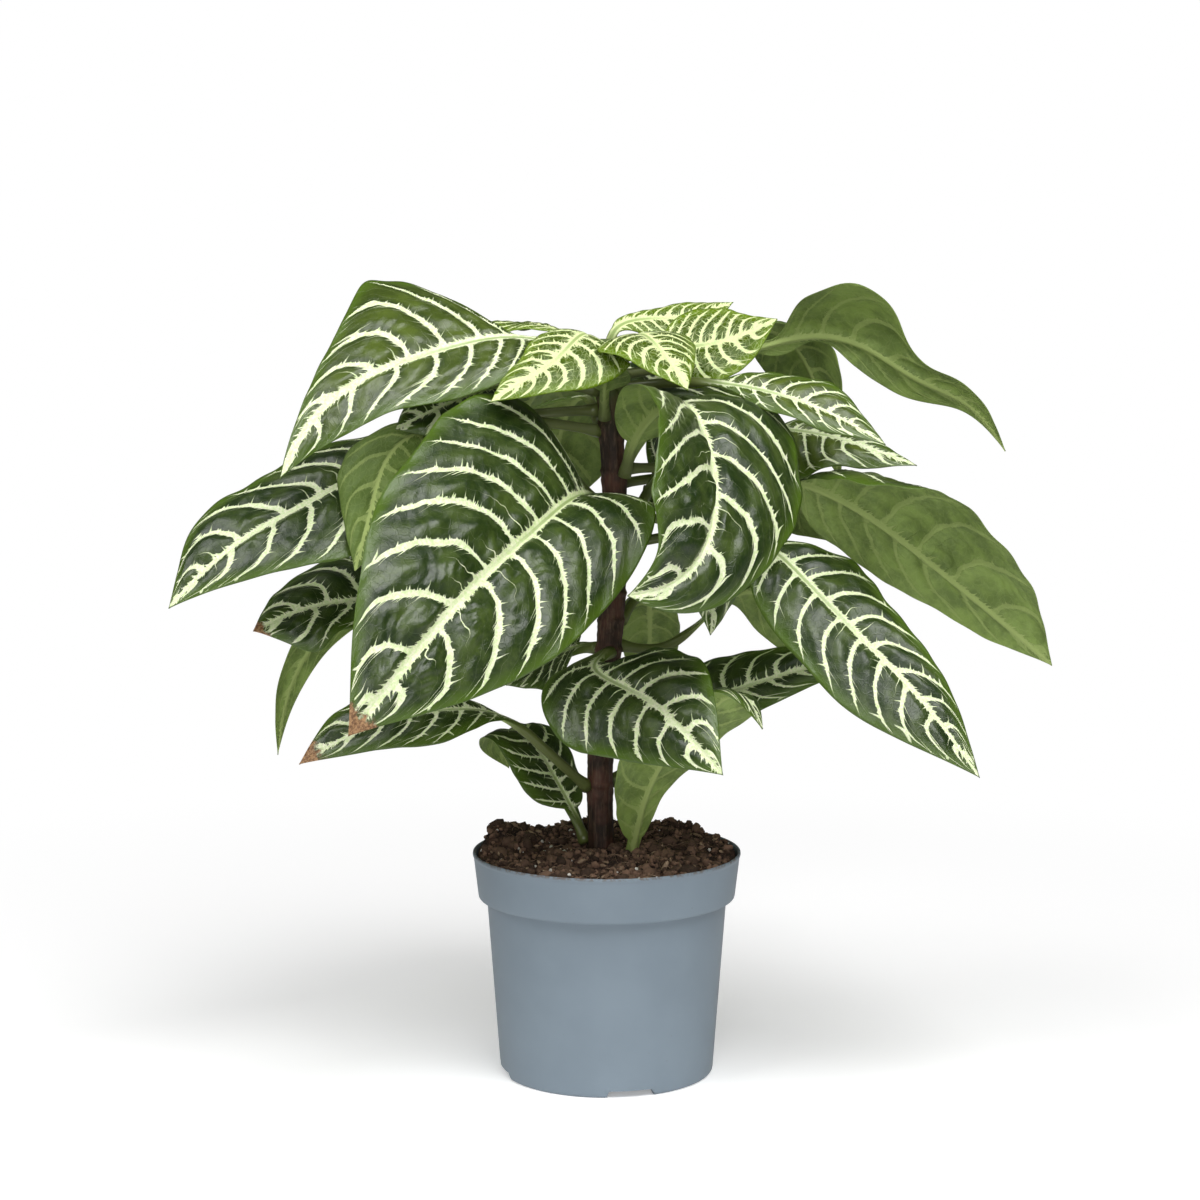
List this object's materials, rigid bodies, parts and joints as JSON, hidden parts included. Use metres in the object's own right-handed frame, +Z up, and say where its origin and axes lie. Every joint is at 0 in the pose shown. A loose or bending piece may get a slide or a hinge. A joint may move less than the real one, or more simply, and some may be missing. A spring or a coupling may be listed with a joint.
{
  "type": "potted zebra plant",
  "caption": "Upright leafy house plant with large dark glossy leaves veined in cream, growing from a stem in a plain round plastic nursery pot of soil.",
  "frame": {"origin": "centre of the flat pad under the pot, on the ground", "axes": "+Z up the stem, +X to the right and -Y to the front, where the largest leaf leans out"},
  "size_m": [0.383, 0.2671, 0.3528],
  "materials": {
    "pot": "satin moulded blue-grey plastic",
    "soil": "moist dark potting mix of peat and bark with white perlite and tan wood chips",
    "stem": "dark purple-brown ribbed woody stem",
    "leaf_mature": "glossy puckered dark green with cream midrib and side veins, matte paler green underneath",
    "leaf_young": "soft lime green with a dense cream network of veins"
  },
  "bodies": {
    "root": {"pot": "pot", "soil": "soil", "stem": "stem", "leaf_01": "leaf_mature", "leaf_02": "leaf_mature", "leaf_03": "leaf_mature", "leaf_04": "leaf_mature", "leaf_05": "leaf_mature", "leaf_06": "leaf_mature", "leaf_07": "leaf_mature", "leaf_08": "leaf_mature", "leaf_09": "leaf_mature", "leaf_10": "leaf_mature", "leaf_11": "leaf_mature", "leaf_12": "leaf_mature", "leaf_13": "leaf_mature", "leaf_14": "leaf_mature", "leaf_15": "leaf_mature", "leaf_16": "leaf_mature", "leaf_17": "leaf_mature", "leaf_18": "leaf_mature", "leaf_19": "leaf_mature", "leaf_20": "leaf_mature", "leaf_21": "leaf_mature", "leaf_22": "leaf_mature", "leaf_23": "leaf_mature", "leaf_24": "leaf_mature", "leaf_25": "leaf_mature", "leaf_26": "leaf_mature", "leaf_27": "leaf_mature", "leaf_28": "leaf_mature", "leaf_29": "leaf_mature", "leaf_30": "leaf_mature", "leaf_31": "leaf_mature", "leaf_32": "leaf_young", "leaf_33": "leaf_young", "leaf_34": "leaf_young", "leaf_35": "leaf_young", "leaf_36": "leaf_mature", "leaf_37": "leaf_young"}
  },
  "joints": []
}
